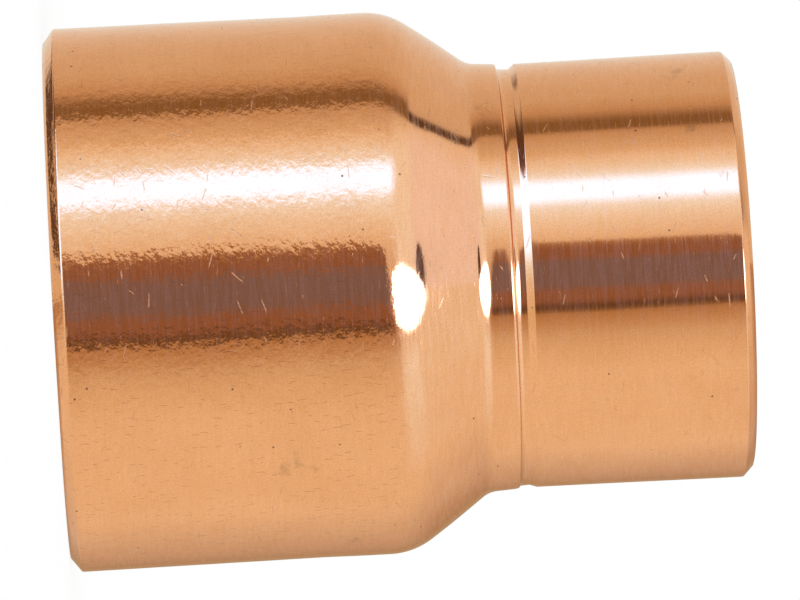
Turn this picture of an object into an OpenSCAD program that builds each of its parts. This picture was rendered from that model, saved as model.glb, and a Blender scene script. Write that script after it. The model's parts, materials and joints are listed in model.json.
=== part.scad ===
// Concentric reducer, socket by socket, for 28 mm and 22 mm copper tube.
// It is one piece of drawn copper: a large socket, a shoulder, a short neck with a
// rolled stop, and a small socket. The tubes slide in and are soldered from the ends.
// It stands on its large end. The axis is +Z, and the origin is the centre of that end.

/* [Tubes] */
// Outside diameter of the tube that the large socket takes
large_tube = 28; // [26:1:32]
// Outside diameter of the tube that the small socket takes
small_tube = 22; // [18:1:24]
// Play between a tube and its socket, on the diameter
tube_play = 0.12; // [0.05:0.01:0.3]

/* [Body] */
// Length from end to end
body_length = 38.5; // [36:0.5:60]
// Wall thickness of the large socket
large_wall = 1.19; // [1.05:0.01:1.6]
// Wall thickness of the neck and the small socket
small_wall = 0.92; // [0.8:0.01:1.4]
// Length of the large socket, from its end to where the shoulder starts to turn in
large_socket = 17.15; // [12:0.05:18]

/* [Shoulder] */
// Slope of the shoulder's straight stretch, measured from the axis, in degrees
shoulder_slope = 35.9; // [30:0.1:50]
// Radius of the shoulder's outward bend, on the outside
shoulder_bend = 6.4; // [3:0.1:7]
// Radius of the bend from the shoulder into the neck, on the outside
neck_bend = 1.8; // [1:0.1:3]

/* [Rolled stop] */
// Distance from the large end to the start of the groove
groove_at = 25.2; // [25:0.05:26]
// Depth of the groove in the outside
groove_depth = 0.27; // [0.1:0.01:0.4]
// Width of the groove's steep side, next to the neck
groove_near_side = 0.25; // [0.1:0.01:0.4]
// Width of the groove's flat floor
groove_floor = 0.5; // [0.3:0.01:1]
// Width of the groove's gentle side, next to the small socket
groove_far_side = 0.5; // [0.1:0.01:0.8]
// Height of the ridge that the groove raises inside, where the small tube stops
ridge_height = 0.56; // [0.3:0.01:0.8]

/* [Ends] */
// Length of the chamfer around the large end
large_chamfer_length = 0.6; // [0.2:0.05:1]
// Depth of the chamfer around the large end, across the wall
large_chamfer_depth = 0.76; // [0.2:0.01:0.8]
// Length of the chamfer around the small end
small_chamfer_length = 0.53; // [0.2:0.01:1]
// Depth of the chamfer around the small end, across the wall
small_chamfer_depth = 0.55; // [0.2:0.01:0.6]
// Size of the broken edge inside each mouth
mouth_break = 0.15; // [0.05:0.01:0.2]

/* [Hidden] */
$fn = 120;
bend_steps = 12;

// Radii of the two bores and of the outside
large_bore_r = (large_tube + tube_play) / 2;
small_bore_r = (small_tube + tube_play) / 2;
large_r = large_bore_r + large_wall;
small_r = small_bore_r + small_wall;

// Centres of the shoulder's two bends, as [distance from the axis, distance along it].
// The inner and the outer surface bend about the same centres.
bend_reach = shoulder_bend + neck_bend;
shoulder_drop = (small_r + neck_bend) - (large_r - shoulder_bend);
shoulder_run = (bend_reach - shoulder_drop * cos(shoulder_slope)) / sin(shoulder_slope);
shoulder_centre = [large_r - shoulder_bend, large_socket];
neck_centre = [small_r + neck_bend, large_socket + shoulder_run];

// The ridge is an arc as wide as the groove, and its chord lies on the bore
groove_width = groove_near_side + groove_floor + groove_far_side;
ridge_half_width = groove_width / 2;
ridge_r = (ridge_half_width ^ 2 + ridge_height ^ 2) / (2 * ridge_height);
ridge_half_angle = asin(ridge_half_width / ridge_r);
ridge_centre = [
    small_bore_r - ridge_height + ridge_r,
    groove_at + ridge_half_width
];

// Points on a circle, from one angle to another. Angle 0 points away from the axis,
// and 90 points along it, towards the small end.
function arc(centre, radius, from, to) = [
    for (step = [0 : bend_steps])
        let (angle = from + (to - from) * step / bend_steps)
            centre + radius * [cos(angle), sin(angle)]
];

// Slope of the line that touches both bends when they have these radii
function tangent_slope(outward_radius, inward_radius) =
    asin((outward_radius + inward_radius) / norm([shoulder_run, shoulder_drop]))
    - atan2(shoulder_drop, shoulder_run);

// Outside, from the large end to the small end
function outside() = concat(
    [
        [large_r - large_chamfer_depth, 0],
        [large_r, large_chamfer_length]
    ],
    arc(shoulder_centre, shoulder_bend, 0, shoulder_slope),
    arc(neck_centre, neck_bend, 180 + shoulder_slope, 180),
    [
        [small_r, groove_at],
        [small_r - groove_depth, groove_at + groove_near_side],
        [small_r - groove_depth, groove_at + groove_near_side + groove_floor],
        [small_r, groove_at + groove_width],
        [small_r, body_length - small_chamfer_length],
        [small_r - small_chamfer_depth, body_length]
    ]
);

// Inside, from the small end back to the large end
function inside() =
    let (
        outward_radius = shoulder_bend - large_wall,
        inward_radius = neck_bend + small_wall,
        slope = tangent_slope(outward_radius, inward_radius)
    )
    concat(
        [
            [small_bore_r + mouth_break, body_length],
            [small_bore_r, body_length - mouth_break]
        ],
        arc(ridge_centre, ridge_r, 180 - ridge_half_angle, 180 + ridge_half_angle),
        arc(neck_centre, inward_radius, 180, 180 + slope),
        arc(shoulder_centre, outward_radius, slope, 0),
        [
            [large_bore_r, mouth_break],
            [large_bore_r + mouth_break, 0]
        ]
    );

// The whole fitting, turned about its axis
module reducer_body() {
    color("peru")
        rotate_extrude()
            polygon(concat(outside(), inside()));
}

reducer_body();
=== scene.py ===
"""Looks of the copper reducer: one turned body, its copper finish, and a small light tent."""

import json
import math

import bpy
import numpy as np
from mathutils import Matrix, Vector


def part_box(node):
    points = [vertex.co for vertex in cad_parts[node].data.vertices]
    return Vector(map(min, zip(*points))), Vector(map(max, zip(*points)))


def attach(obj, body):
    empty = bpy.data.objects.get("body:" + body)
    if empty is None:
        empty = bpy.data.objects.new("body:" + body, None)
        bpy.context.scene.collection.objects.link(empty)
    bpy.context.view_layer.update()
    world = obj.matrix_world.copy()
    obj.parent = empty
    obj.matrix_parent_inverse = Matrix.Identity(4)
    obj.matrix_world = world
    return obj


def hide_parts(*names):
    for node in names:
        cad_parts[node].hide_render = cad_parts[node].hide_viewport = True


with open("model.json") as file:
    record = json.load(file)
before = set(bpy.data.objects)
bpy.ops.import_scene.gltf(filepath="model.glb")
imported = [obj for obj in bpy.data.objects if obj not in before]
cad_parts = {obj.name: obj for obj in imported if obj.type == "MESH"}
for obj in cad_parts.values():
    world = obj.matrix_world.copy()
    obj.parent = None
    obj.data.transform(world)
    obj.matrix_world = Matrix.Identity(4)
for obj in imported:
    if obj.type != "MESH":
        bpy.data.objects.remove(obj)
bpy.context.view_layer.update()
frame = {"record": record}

MM = 0.001
BODY = "reducer_body"
low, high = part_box(BODY)
mounts = {mount["name"]: mount for mount in frame["record"]["mounts"]}

# Driving sizes, in millimetres along the axis from the large end and across from the axis
LENGTH = (high.z - low.z) / MM
LARGE_R = (high.x - low.x) / MM / 2
LARGE_BORE_R = mounts["large_socket"]["dims"]["r_mm"]
SMALL_BORE_R = mounts["small_socket"]["dims"]["r_mm"]

# The outline is cut into steps of these lengths, and it skips points nearer than the smallest.
# It is turned about the axis in this many segments.
OUTSIDE_STEP = 0.34
INSIDE_STEP = 1.0
ARC_STEP = 0.3
SMALLEST_STEP = 0.01
SEGMENTS = 300

SEED = 28
random = np.random.default_rng(SEED)


# ---------------------------------------------------------------- outline

def rounded(corners, steps_per_radian=9, fewest_steps=3, largest_share=0.49, straight=1e-4):
    """A closed outline through corners [along, across, rounding], each rounded by an arc."""
    points = []
    count = len(corners)
    for i, (along, across, rounding) in enumerate(corners):
        here = np.array([along, across])
        before = np.array(corners[i - 1][:2]) - here
        after = np.array(corners[(i + 1) % count][:2]) - here
        before_length, after_length = np.hypot(*before), np.hypot(*after)
        before, after = before / before_length, after / after_length
        turn = math.pi - math.acos(np.clip(before @ after, -1, 1))
        if turn < straight:
            points.append(here)
            continue
        longest_reach = largest_share * min(before_length, after_length)
        reach = min(rounding * math.tan(turn / 2), longest_reach)
        radius = reach / math.tan(turn / 2)
        middle = (before + after) / np.hypot(*(before + after))
        centre = here + middle * math.hypot(reach, radius)
        first = here + before * reach - centre
        steps = max(
            fewest_steps, math.ceil(turn * steps_per_radian), math.ceil(turn * radius / ARC_STEP)
        )
        side = np.sign(first[0] * (after - before)[1] - first[1] * (after - before)[0])
        for step in range(steps + 1):
            angle = side * turn * step / steps
            cos, sin = math.cos(angle), math.sin(angle)
            turned = np.array([first[0] * cos - first[1] * sin, first[0] * sin + first[1] * cos])
            points.append(centre + turned)
    return np.array(points)


def divided(points):
    """The closed outline with its long straight stretches cut into short ones."""
    inner_shoulder_end = 24
    large_inside_r = LARGE_BORE_R + 0.2
    small_inside_r = SMALL_BORE_R + 0.3
    fine = []
    for here, after in zip(points, np.roll(points, -1, axis=0)):
        along, across = np.maximum(here, after)
        in_large = along < inner_shoulder_end and across < large_inside_r
        step = INSIDE_STEP if in_large or across < small_inside_r else OUTSIDE_STEP
        pieces = max(1, math.ceil(np.hypot(*(after - here)) / step))
        fine.extend(here + (after - here) * k / pieces for k in range(pieces))
    return np.array(fine)


def outline():
    """The fitting's cut outline, from the large end along the outside and back inside."""
    mouth_r = LARGE_R + 0.03
    waist_r = LARGE_R - 0.03
    shoulder_r = LARGE_R - 0.005
    neck_r, small_r, small_mouth_r = 11.96, 11.92, 11.99
    groove_r, ridge_r = 11.70, 10.5
    large_chamfer, large_chamfer_depth = 0.60, 0.76
    small_chamfer, small_chamfer_depth = 0.53, 0.55
    mouth_break = 0.15
    flare = 1.2
    corners = [
        # The large end, and its wall with a slight waist
        (0, mouth_r - large_chamfer_depth, 0.08),
        (large_chamfer, mouth_r, 0.16),
        (14.2, waist_r, 40),
        (16.6, LARGE_R, 10),
        # The shoulder: its outward bend, its bowed cone, and its bend into the neck
        (19.25, shoulder_r, 6.45),
        (21.60, 13.60, 40),
        (23.66, 12.06, 1.42),
        # The groove, steep on the neck's side
        (25.29, neck_r, 0.22),
        (25.40, groove_r, 0.06),
        (25.97, groove_r, 0.14),
        (26.36, small_r, 0.12),
        # The small end, a little wider at its mouth
        (LENGTH - flare, small_mouth_r, 20),
        (LENGTH - small_chamfer, small_mouth_r, 0.14),
        (LENGTH, small_mouth_r - small_chamfer_depth, 0.07),
        # Back inside: the small bore, the ridge, the inner shoulder and the large bore
        (LENGTH, SMALL_BORE_R + mouth_break, 0.03),
        (LENGTH - mouth_break, SMALL_BORE_R, 0.1),
        (26.62, SMALL_BORE_R, 0.35),
        (26.02, ridge_r, 0.3),
        (25.58, ridge_r, 0.3),
        (24.98, SMALL_BORE_R, 0.35),
        (23.57, SMALL_BORE_R, 2.72),
        (18.60, LARGE_BORE_R, 5.21),
        (mouth_break, LARGE_BORE_R, 0.1),
        (0, LARGE_BORE_R + mouth_break, 0.03),
    ]
    points = rounded(corners)
    gaps = np.hypot(*(points - np.roll(points, 1, axis=0)).T)
    return divided(points[gaps > SMALLEST_STEP])


# ---------------------------------------------------------------- body mesh

def ripples(along, turn, count, waves_around, waves_along):
    """A field of random ripples that closes on itself round the body, most of it in -2 to 2."""
    field = np.zeros(np.broadcast(along, turn).shape)
    for _ in range(count):
        around = int(random.integers(*waves_around)) * random.choice((-1, 1))
        lengthways = random.uniform(*waves_along)
        phase = random.uniform(0, 2 * math.pi)
        field += np.cos(around * turn + 2 * math.pi * lengthways * along + phase)
    return field / math.sqrt(count)


def smooth_step(value, start, end):
    """0 before start, 1 after end, and smooth between them."""
    t = np.clip((value - start) / (end - start), 0, 1)
    return t * t * (3 - 2 * t)


def unevenness(along, across, normal_across, turn):
    """How far the surface lies from its true shape, in millimetres, outwards."""
    swell_height, peel_height, grain_height = 0.0045, 0.0011, 0.0002
    inside_share = 0.25
    groove_lean = 0.075

    wall_r = np.where(along < 21, LARGE_BORE_R, SMALL_BORE_R) + 0.3
    outside = (across > wall_r).astype(float)
    outside = np.maximum(outside, smooth_step(normal_across, 0.2, 0.6))
    large = 1 - smooth_step(along, 17, 24)

    # A drawn tube is a little uneven: broad swells, and a finer orange peel on the large end
    swell = ripples(along, turn, count=24, waves_around=(2, 9), waves_along=(0.02, 0.09))
    peel = ripples(along, turn, count=70, waves_around=(18, 60), waves_along=(0.1, 0.7))
    grain = ripples(along, turn, count=60, waves_around=(60, 100), waves_along=(0.5, 1.2))
    lift = swell_height * swell
    lift = lift + peel_height * (0.35 + 0.65 * large) * peel
    lift = lift + grain_height * (0.3 + 0.7 * large) * grain
    lift = lift * (inside_share + (1 - inside_share) * outside)

    # The groove is rolled deeper on one side than on the other
    in_groove = smooth_step(along, 25.2, 25.4) * (1 - smooth_step(along, 25.95, 26.4))
    return lift - groove_lean * np.sin(turn) * in_groove * outside


def turned_body():
    """The whole body as one closed mesh, turned about +Z, with its small unevenness."""
    points = outline()
    ahead = np.roll(points, -1, axis=0) - np.roll(points, 1, axis=0)
    normal = np.stack([-ahead[:, 1], ahead[:, 0]], axis=1)
    normal /= np.hypot(normal[:, 0], normal[:, 1])[:, None]
    along, across = points[:, :1], points[:, 1:]
    turn = (np.arange(SEGMENTS) * 2 * math.pi / SEGMENTS)[None, :]

    lift = unevenness(along, across, normal[:, 1:], turn)
    z = along + normal[:, :1] * lift
    r = across + normal[:, 1:] * lift
    vertices = np.stack([-r * np.sin(turn), -r * np.cos(turn), z], axis=-1).reshape(-1, 3) * MM

    here = np.arange(len(points) * SEGMENTS).reshape(len(points), SEGMENTS)
    after = np.roll(here, -1, axis=0)
    faces = np.stack(
        [here, after, np.roll(after, -1, axis=1), np.roll(here, -1, axis=1)], axis=-1
    ).reshape(-1, 4)
    mesh = bpy.data.meshes.new("copper_body")
    mesh.from_pydata(vertices.tolist(), [], faces.tolist())
    mesh.update()
    mesh.shade_smooth()
    body = bpy.data.objects.new("copper_body", mesh)
    bpy.context.scene.collection.objects.link(body)
    return body


# ---------------------------------------------------------------- node helpers

class Nodes:
    """Adds shader nodes to a tree, and joins their sockets."""

    def __init__(self, tree):
        self.tree = tree
        tree.nodes.clear()

    def add(self, kind, inputs=None, **settings):
        node = self.tree.nodes.new(kind)
        for name, value in settings.items():
            setattr(node, name, value)
        for name, value in (inputs or {}).items():
            if isinstance(value, bpy.types.NodeSocket):
                self.tree.links.new(value, node.inputs[name])
            else:
                node.inputs[name].default_value = value
        return node

    def math(self, operation, first, second=0.0, third=0.0):
        inputs = {0: first, 1: second, 2: third}
        return self.add("ShaderNodeMath", inputs, operation=operation).outputs[0]

    def vector(self, operation, first, second):
        """A vector worked out from two others."""
        node = self.add("ShaderNodeVectorMath", {0: first, 1: second}, operation=operation)
        return node.outputs["Vector"]

    def measure(self, operation, first, second):
        """A number worked out from two vectors."""
        node = self.add("ShaderNodeVectorMath", {0: first, 1: second}, operation=operation)
        return node.outputs["Value"]

    def between(self, value, start, end, low=0.0, high=1.0):
        """low before start, high after end, and smooth between them."""
        inputs = {
            "Value": value, "From Min": start, "From Max": end, "To Min": low, "To Max": high
        }
        node = self.add("ShaderNodeMapRange", inputs, interpolation_type="SMOOTHSTEP")
        return node.outputs[0]

    def oval(self, across, up, centre_across, centre_up, half_width, half_height):
        """1 inside a rounded box, and 0 outside, with soft edges."""
        squareness, edge = 2.6, 0.12
        a = self.math("ABSOLUTE", self.math("SUBTRACT", across, centre_across))
        b = self.math("ABSOLUTE", self.math("SUBTRACT", up, centre_up))
        a = self.math("POWER", self.math("MULTIPLY", a, 1 / half_width), squareness)
        b = self.math("POWER", self.math("MULTIPLY", b, 1 / half_height), squareness)
        return self.between(self.math("ADD", a, b), 1 - edge, 1 + edge, 1.0, 0.0)

    def mix(self, share, first, second, blend="MIX"):
        node = self.add("ShaderNodeMix", data_type="RGBA", blend_type=blend)
        factor, first_colour, second_colour, mixed_colour = 0, 6, 7, 2
        sockets = {factor: share, first_colour: first, second_colour: second}
        for index, value in sockets.items():
            if isinstance(value, bpy.types.NodeSocket):
                self.tree.links.new(value, node.inputs[index])
            elif index == factor:
                node.inputs[index].default_value = value
            else:
                node.inputs[index].default_value = (*value, 1)
        return node.outputs[mixed_colour]

    def ramp(self, value, stops):
        """Colours along a value: stops are (place, (red, green, blue))."""
        node = self.add("ShaderNodeValToRGB", {"Fac": value})
        elements = node.color_ramp.elements
        while len(elements) > 1:
            elements.remove(elements[-1])
        elements[0].position = stops[0][0]
        elements[0].color = (*stops[0][1], 1)
        for place, colour in stops[1:]:
            elements.new(place).color = (*colour, 1)
        return node.outputs["Color"]

    def by_angle(self, degrees, table):
        """Colours by an angle from -180 to 180 degrees."""
        share = self.math("MULTIPLY_ADD", degrees, 1 / 360, 0.5)
        return self.ramp(share, [(angle / 360 + 0.5, colour) for angle, colour in table])

    def noise(self, vector, scale, detail=2.0, roughness=0.5):
        inputs = {"Vector": vector, "Scale": scale, "Detail": detail, "Roughness": roughness}
        return self.add("ShaderNodeTexNoise", inputs).outputs[0]

    def scaled(self, vector, factors):
        """The vector scaled along X, Y and Z."""
        return self.add("ShaderNodeMapping", {"Vector": vector, "Scale": factors}).outputs[0]


# ---------------------------------------------------------------- marks in the copper

def cells_of(n, place, cell, shift):
    """Random cells of one size: the shifted place, and each cell's node and three chances."""
    moved = n.vector("ADD", place, shift)
    cells = n.add("ShaderNodeTexVoronoi", {"Vector": moved, "Scale": 1 / cell})
    chances = n.add("ShaderNodeSeparateColor", {0: cells.outputs["Color"]}).outputs
    return moved, cells, chances


def strokes(n, place, around, cell, length, width, lean, spread, share, shift):
    """Short random strokes on the surface, about one in each cell: 1 on a stroke, else 0."""
    waver, shortest, core = 0.25, 0.2, 0.2
    moved, cells, chances = cells_of(n, place, cell, shift)
    away = n.vector("SUBTRACT", moved, cells.outputs["Position"])
    a = n.add("ShaderNodeSeparateXYZ", {0: away}).outputs["Z"]
    b = n.measure("DOT_PRODUCT", away, around)
    b = n.math("MULTIPLY_ADD", n.noise(place, 1.3, 1.0), waver, b)
    angle = n.math("MULTIPLY_ADD", chances[0], spread, lean - spread / 2)
    cos, sin = n.math("COSINE", angle), n.math("SINE", angle)
    ahead = n.math("ADD", n.math("MULTIPLY", a, cos), n.math("MULTIPLY", b, sin))
    aside = n.math("SUBTRACT", n.math("MULTIPLY", b, cos), n.math("MULTIPLY", a, sin))
    reach = n.math("MULTIPLY", n.math("MULTIPLY_ADD", chances[1], 1 - shortest, shortest), length / 2)
    past_end = n.math("SUBTRACT", n.math("ABSOLUTE", ahead), reach)
    inside = n.between(past_end, -length / 4, 0, 1, 0)
    thin = n.between(n.math("ABSOLUTE", aside), width * core, width, 1.0, 0.0)
    kept = n.math("LESS_THAN", chances[2], share)
    return n.math("MULTIPLY", n.math("MULTIPLY", inside, thin), kept)


def specks(n, place, cell, radius, share, shift):
    """Small round specks, about one in each cell: 1 on a speck, else 0."""
    _, cells, chances = cells_of(n, place, cell, shift)
    kept = n.math("LESS_THAN", chances[2], share)
    spot = n.between(cells.outputs["Distance"], radius / cell * 0.5, radius / cell, 1.0, 0.0)
    return n.math("MULTIPLY", spot, kept)


# Where the copper is scuffed and a little tarnished: centre and reach, in millimetres
SCUFFS = [
    ((14.0, -5.5, 15.8), 2.2), ((-7.2, -12.5, 18.5), 1.6), ((9.8, -11.5, 12.4), 1.5),
    ((-7.8, -9.0, 35.5), 1.0), ((12.2, 9.0, 6.0), 2.0), ((8.2, 8.5, 31.0), 1.6),
]


def stains(n, place):
    """Faint patches of tarnish, and the scuffs: 1 on a stain, else 0."""
    cloud = n.noise(place, 0.9, 4.0, 0.75)
    stain = n.between(n.noise(place, 0.16, 5.0, 0.7), 0.66, 0.74)
    for spot, reach in SCUFFS:
        near = n.between(n.measure("DISTANCE", place, spot), reach * 0.2, reach, 0.16, 0.0)
        stain = n.math("MAXIMUM", stain, n.between(n.math("ADD", cloud, near), 0.62, 0.8))
    return stain


# ---------------------------------------------------------------- copper

def copper():
    """Bright drawn copper: orange peel, draw marks, streaks, nicks, pits and faint stains."""
    material = bpy.data.materials.new("copper")
    material.use_nodes = True
    n = Nodes(material.node_tree)

    # Places and lengths in this material are in millimetres, and heights in micrometres
    place = n.add("ShaderNodeTexCoord").outputs["Object"]
    place = n.add("ShaderNodeVectorMath", {0: place, "Scale": 1 / MM}, operation="SCALE").outputs[0]
    around = n.vector("CROSS_PRODUCT", place, (0, 0, 1))
    around = n.add("ShaderNodeVectorMath", {0: around}, operation="NORMALIZE").outputs[0]
    side, _, along = n.add("ShaderNodeSeparateXYZ", {0: place}).outputs
    large = n.between(along, 16.5, 21.0, 1.0, 0.0)

    def ends(on_small, on_large):
        """One value on the small end, another on the large end, and smooth between them."""
        return n.between(large, 0.0, 1.0, on_small, on_large)

    broad = n.noise(place, 0.25, 3.0, 0.6)
    peel = n.noise(n.scaled(place, (1.8, 1.8, 2.6)), 1.0, 2.0, 0.6)
    crinkle = n.noise(place, 5.5, 2.0, 0.6)
    grain = n.noise(place, 13.0, 1.0, 0.5)
    turning = n.noise(n.scaled(place, (0.35, 0.35, 5.5)), 1.0, 3.0, 0.6)
    streaks = n.noise(n.scaled(place, (0.55, 0.55, 8.5)), 1.0, 2.0, 0.7)

    # Draw marks run along the axis, and the nicks and turning marks mostly round it
    lengthways, crossways, slanting = 0.0, 1.57, 2.4
    draws = strokes(n, place, around, cell=0.6, length=0.75, width=0.03,
                    lean=lengthways, spread=0.3, share=0.5, shift=(0, 0, 0))
    draws = n.math("MULTIPLY", draws, ends(0.1, 1.0))
    draws = n.math("MULTIPLY", draws, n.between(side, -1.0, 7.0, 0.55, 1.0))
    nicks = strokes(n, place, around, cell=1.6, length=1.1, width=0.05,
                    lean=crossways, spread=1.0, share=0.45, shift=(31, 7, 3))
    slanting_nicks = strokes(n, place, around, cell=2.9, length=1.3, width=0.06,
                             lean=slanting, spread=1.2, share=0.35, shift=(8, 90, 31))
    nicks = n.math("MAXIMUM", nicks, slanting_nicks)
    turns = strokes(n, place, around, cell=0.9, length=0.7, width=0.035,
                    lean=crossways, spread=0.5, share=0.5, shift=(5, 43, 11))
    pits = specks(n, place, cell=1.1, radius=0.085, share=0.45, shift=(3, 9, 60))
    dents = specks(n, place, cell=1.5, radius=0.22, share=0.5, shift=(13, 71, 5))
    stain = stains(n, place)

    # The large end is drawn and crinkled, the small end is turned and smooth
    height = n.math("MULTIPLY", peel, ends(1.2, 17.0))
    height = n.math("MULTIPLY_ADD", crinkle, ends(0.3, 2.0), height)
    height = n.math("MULTIPLY_ADD", grain, ends(0.1, 0.2), height)
    turned = n.math("MULTIPLY_ADD", streaks, 0.15, n.math("MULTIPLY", turning, ends(1.4, 0.6)))
    height = n.math("MULTIPLY_ADD", turned, n.between(along, 24.4, 25.4, 0.4, 1.0), height)
    depths = ((draws, 0.9), (nicks, 2.2), (turns, 0.5), (pits, 2.5), (dents, 1.8))
    for mark, depth in depths:
        height = n.math("MULTIPLY_ADD", mark, -depth, height)
    bump = n.add("ShaderNodeBump", {"Height": height, "Strength": 1.0, "Distance": 0.001 * MM})

    base = n.ramp(broad, [(0.3, (0.815, 0.385, 0.168)), (0.7, (0.855, 0.415, 0.188))])
    fleck = n.math("MULTIPLY_ADD", n.math("SUBTRACT", grain, 0.5), 0.35, 0.99)
    fleck = n.math("MULTIPLY_ADD", n.math("SUBTRACT", streaks, 0.5), 0.1, fleck)
    fleck = n.add("ShaderNodeCombineColor", {0: fleck, 1: fleck, 2: fleck}).outputs[0]
    base = n.mix(1.0, base, fleck, "MULTIPLY")
    colours = (
        (stain, 0.38, (0.36, 0.2, 0.09)), (pits, 0.85, (0.13, 0.06, 0.03)),
        (draws, 0.55, (0.34, 0.14, 0.05)), (nicks, 0.2, (0.45, 0.2, 0.09)),
    )
    for mark, share, colour in colours:
        base = n.mix(n.math("MULTIPLY", mark, share), base, colour)

    roughness = n.between(streaks, 0.42, 0.7, 0.07, ends(0.12, 0.11))
    for mark, rougher in ((pits, 0.3), (nicks, 0.3), (turns, 0.15), (stain, 0.12)):
        roughness = n.math("MULTIPLY_ADD", mark, rougher, roughness)

    # The finest streaks scatter a little light, so they show where the reflection is dark
    haze = n.between(streaks, 0.38, 0.64, 0.0, ends(0.65, 0.5))
    inputs = {
        "Base Color": base, "Metallic": 1.0, "Roughness": roughness, "Normal": bump.outputs[0],
        "Coat Weight": haze, "Coat Roughness": 0.5
    }
    shader = n.add("ShaderNodeBsdfPrincipled", inputs)
    n.add("ShaderNodeOutputMaterial", {"Surface": shader.outputs[0]})
    return material


# ---------------------------------------------------------------- studio

# The tent's tones, roughly from the darkest to the brightest. Lit cloth is warm where it is dim,
# and cold where it is bright, as a daylight lamp makes it.
GAP = (0.13, 0.08, 0.05)
SEAM = (0.28, 0.19, 0.09)
SHADE = (0.25, 0.21, 0.27)
RUST = (0.33, 0.19, 0.13)
UMBER = (0.50, 0.33, 0.18)
TAN = (0.66, 0.53, 0.39)
SAND = (0.78, 0.72, 0.62)
CREAM = (0.88, 0.83, 0.72)
PAPER = (0.97, 0.96, 0.91)
WHITE = (1.0, 1.07, 1.12)
ROSE = (1.04, 1.16, 1.5)
BRIGHT = (1.05, 1.25, 1.5)
GLOW = (1.1, 1.55, 2.3)
LAMP = (1.4, 2.6, 6.0)
WINDOW = (4.0, 5.0, 8.0)
BACKDROP = (1.0, 1.0, 1.0)

# Each part's tones round the fitting's axis, by angle in degrees from the camera's side towards
# -X. The walls hold the lamp, a soft upright strip at 45 degrees, and the cloth's seam.
WALLS = [
    (-180, UMBER), (-160, UMBER), (-145, TAN), (-130, SAND), (-110, PAPER), (-55, PAPER),
    (-42, CREAM), (-34, SAND), (-28, TAN), (-20, UMBER), (18, PAPER), (29, BRIGHT),
    (36, GLOW), (41, LAMP), (49, LAMP), (54, GLOW), (59, BRIGHT), (64, WHITE), (68, CREAM),
    (73, SAND), (81, TAN), (83, SEAM), (89, SEAM), (97, TAN), (108, SAND), (150, CREAM),
]
# The dark opening that the camera looks through: its cloth rim, and the room beyond
OPENING = [
    (-21, SEAM), (-18, GAP), (-15, RUST), (-10, RUST), (-7, SHADE), (6, SHADE), (8, RUST),
    (13, RUST), (17, UMBER),
]
# The slope of the roof, past the lamp's end, and the roof itself
SLOPE = [
    (-180, UMBER), (-110, PAPER), (-60, BRIGHT), (-40, BRIGHT), (-20, CREAM), (-8, BRIGHT),
    (20, BRIGHT), (58, BRIGHT), (70, WHITE), (80, SAND), (82, SEAM), (92, SEAM), (98, TAN),
    (108, SAND), (150, CREAM),
]
ROOF = [
    (-180, UMBER), (-110, PAPER), (-60, WHITE), (-12, WHITE), (-4, ROSE), (60, ROSE),
    (79, PAPER), (80, GAP), (88, GAP), (91, SAND), (150, CREAM),
]
# The foot of the walls and the ground, with a wide low lamp and two dark gaps
FOOT = [
    (-180, UMBER), (-150, CREAM), (-100, PAPER), (-45, PAPER), (-28, CREAM), (-10, WHITE),
    (8, GLOW), (20, LAMP), (77, LAMP), (82, UMBER), (85, GAP), (112, GAP), (126, SAND),
    (140, SAND), (146, GAP), (154, GAP), (160, CREAM),
]
GROUND = [
    (-180, UMBER), (-150, PAPER), (-45, PAPER), (-28, CREAM), (-4, WHITE), (8, GLOW),
    (20, LAMP), (77, LAMP), (82, UMBER), (85, GAP), (112, GAP), (126, TAN), (140, SAND),
    (146, GAP), (154, GAP), (160, CREAM),
]

# Between which heights each part takes over from the walls, in degrees above level
SLOPE_STARTS = (20, 34)
ROOF_STARTS = (50, 54)
TOP_STARTS = (74, 84)
FOOT_STARTS = (-30, -8)
GROUND_STARTS = (-58, -46)


def leaning(n, around, above):
    """The angle round the axis, less what the lamp and the seam lean over by, up the walls."""
    full_height, last_height = 40, 52.0
    gentle, steep = 7.2, 3.6
    rise = n.math("MINIMUM", n.math("MAXIMUM", above, 0.0), last_height)
    rise = n.math("MULTIPLY", rise, 1 / full_height)
    lean = n.math("MULTIPLY", n.math("POWER", rise, 2.0), gentle)
    lean = n.math("MULTIPLY_ADD", n.math("POWER", rise, 6.0), steep, lean)
    lean = n.math("MULTIPLY", lean, n.between(around, 18, 45))
    return n.math("SUBTRACT", around, lean)


def opening(n, around, above):
    """1 in the dark opening, and 0 outside: its far and upper edges slope."""
    near_edge, lower_edge = -21, -14
    far_edge, far_slope = 17.2, -0.35
    upper_edge, upper_slope = 13.0, -0.27
    near = n.between(around, near_edge - 0.6, near_edge + 0.6)
    lower = n.between(above, lower_edge - 2, lower_edge + 2)
    past_far = n.math("SUBTRACT", around, n.math("MULTIPLY_ADD", above, far_slope, far_edge))
    far = n.between(past_far, -0.7, 0.7, 1.0, 0.0)
    past_upper = n.math("SUBTRACT", above, n.math("MULTIPLY_ADD", around, upper_slope, upper_edge))
    upper = n.between(past_upper, -1.5, 1.5, 1.0, 0.0)
    sides = n.math("MULTIPLY", near, far)
    return n.math("MULTIPLY", sides, n.math("MULTIPLY", lower, upper))


def flap(n, around, above):
    """1 on the dark flap behind the window's far end, and 0 outside."""
    return n.oval(above, around, centre_across=64, centre_up=3, half_width=5.8, half_height=24)


def window(n, around, above):
    """1 in the rounded window, which is lower at its far end, and 0 outside."""
    centre, slant = 44, 0.13
    slanted = n.math("MULTIPLY_ADD", n.math("SUBTRACT", above, centre), slant, around)
    return n.oval(
        above, slanted, centre_across=centre, centre_up=-8.5, half_width=25.5, half_height=16
    )


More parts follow.
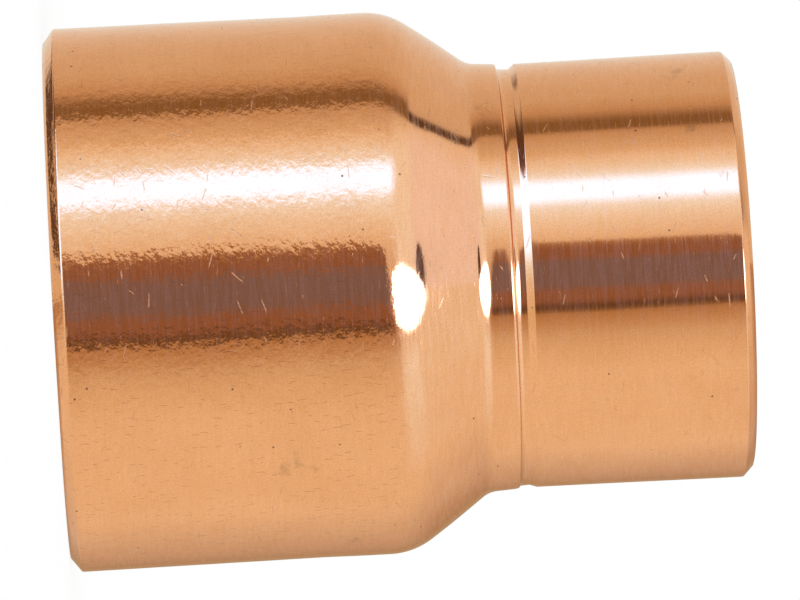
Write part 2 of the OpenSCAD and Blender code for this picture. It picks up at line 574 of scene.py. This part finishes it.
def light_tent():
    """The world: a light tent with a lamp, a seam, a dark opening and a bright window."""
    world = bpy.data.worlds.new("light_tent")
    bpy.context.scene.world = world
    world.use_nodes = True
    n = Nodes(world.node_tree)
    direction = n.add("ShaderNodeTexCoord").outputs["Generated"]
    x, y, z = n.add("ShaderNodeSeparateXYZ", {0: direction}).outputs
    around = n.math("ARCTAN2", n.math("MULTIPLY", x, -1.0), n.math("MULTIPLY", y, -1.0))
    around = n.math("DEGREES", around)
    above = n.math("DEGREES", n.math("ARCSINE", z))
    leant = leaning(n, around, above)

    # The roof starts lower past the lamp
    past_lamp = n.math("MAXIMUM", n.math("SUBTRACT", around, 45), 0)
    to_roof = n.math("MULTIPLY_ADD", past_lamp, 0.18, above)

    view = n.by_angle(leant, WALLS)
    view = n.mix(n.between(above, *SLOPE_STARTS), view, n.by_angle(leant, SLOPE))
    view = n.mix(n.between(to_roof, *ROOF_STARTS), view, n.by_angle(leant, ROOF))
    view = n.mix(n.between(above, *FOOT_STARTS, 1.0, 0.0), view, n.by_angle(leant, FOOT))
    view = n.mix(n.between(above, *GROUND_STARTS, 1.0, 0.0), view, n.by_angle(leant, GROUND))
    view = n.mix(n.between(above, *TOP_STARTS), view, PAPER)
    view = n.mix(opening(n, around, above), view, n.by_angle(around, OPENING))
    view = n.mix(flap(n, around, above), view, GAP)
    view = n.mix(window(n, around, above), view, WINDOW)

    # The camera itself sees a plain white backdrop, and all other light comes from the tent
    to_camera = n.add("ShaderNodeLightPath").outputs["Is Camera Ray"]
    seen = n.mix(to_camera, view, BACKDROP)
    lit = n.add("ShaderNodeBackground", {"Color": seen, "Strength": 1.0})
    n.add("ShaderNodeOutputWorld", {"Surface": lit.outputs[0]})


# The floor's half side and where it fades out, in metres, and the gap under the fitting
FLOOR_REACH = 0.6
FLOOR_FADE = (0.25, 0.55)
FLOOR_GAP = 0.03 * MM


def floor_finish():
    """Pale, mostly lit from within, fading into the backdrop, and unseen from below."""
    material = bpy.data.materials.new("floor")
    material.use_nodes = True
    n = Nodes(material.node_tree)
    place = n.add("ShaderNodeTexCoord").outputs["Object"]
    far = n.add("ShaderNodeVectorMath", {0: place}, operation="LENGTH").outputs["Value"]
    matt = n.add("ShaderNodeBsdfDiffuse", {"Color": (0.9, 0.85, 0.7, 1)})
    glow = n.add("ShaderNodeEmission", {"Color": (*BACKDROP, 1)})
    glow_share = 0.9
    pale = n.add("ShaderNodeMixShader", {0: glow_share, 1: matt.outputs[0], 2: glow.outputs[0]})
    clear = n.add("ShaderNodeBsdfTransparent")
    back = n.add("ShaderNodeNewGeometry").outputs["Backfacing"]
    fade = n.math("MAXIMUM", n.between(far, *FLOOR_FADE), back)
    mixed = n.add("ShaderNodeMixShader", {0: fade, 1: pale.outputs[0], 2: clear.outputs[0]})
    n.add("ShaderNodeOutputMaterial", {"Surface": mixed.outputs[0]})
    return material


def floor():
    """A plain pale floor that the fitting stands on."""
    mesh = bpy.data.meshes.new("floor")
    corners = [(-1, -1), (1, -1), (1, 1), (-1, 1)]
    mesh.from_pydata([(x * FLOOR_REACH, y * FLOOR_REACH, 0) for x, y in corners], [], [(0, 1, 2, 3)])
    mesh.materials.append(floor_finish())
    ground = bpy.data.objects.new("floor", mesh)
    ground.location = (0, 0, low.z - FLOOR_GAP)
    ground.visible_glossy = False
    bpy.context.scene.collection.objects.link(ground)


# The camera, in millimetres: how far past the axis it aims, towards +X, how far off it stands,
# how far below its aim it is, its lens and its sensor. It lies on its side, and the fitting's
# axis leans by a few degrees in the picture.
AIM_PAST = 1.0
CAMERA_DISTANCE = 468.8
CAMERA_BELOW = 10.5
LENS = 375
SENSOR = 36
PICTURE_LEAN = 3.15


def camera():
    """A long lens in front of the axis, turned so that the axis runs across the picture."""
    aim = Vector((AIM_PAST * MM, 0, (low.z + high.z) / 2))
    place = aim + Vector((0, -CAMERA_DISTANCE * MM, -CAMERA_BELOW * MM))
    data = bpy.data.cameras.new("camera")
    data.lens = LENS
    data.sensor_width = SENSOR
    data.clip_start = 0.01
    data.clip_end = 10
    eye = bpy.data.objects.new("camera", data)
    bpy.context.scene.collection.objects.link(eye)
    facing = (aim - place).to_track_quat("-Z", "Y").to_matrix().to_4x4()
    roll = Matrix.Rotation(math.radians(90 - PICTURE_LEAN), 4, "Z")
    eye.matrix_world = Matrix.Translation(place) @ facing @ roll
    bpy.context.scene.camera = eye


body = turned_body()
body.data.materials.append(copper())
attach(body, "root")
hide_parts(BODY)

light_tent()
floor()
camera()

scene = bpy.context.scene
scene.view_settings.view_transform = "Standard"
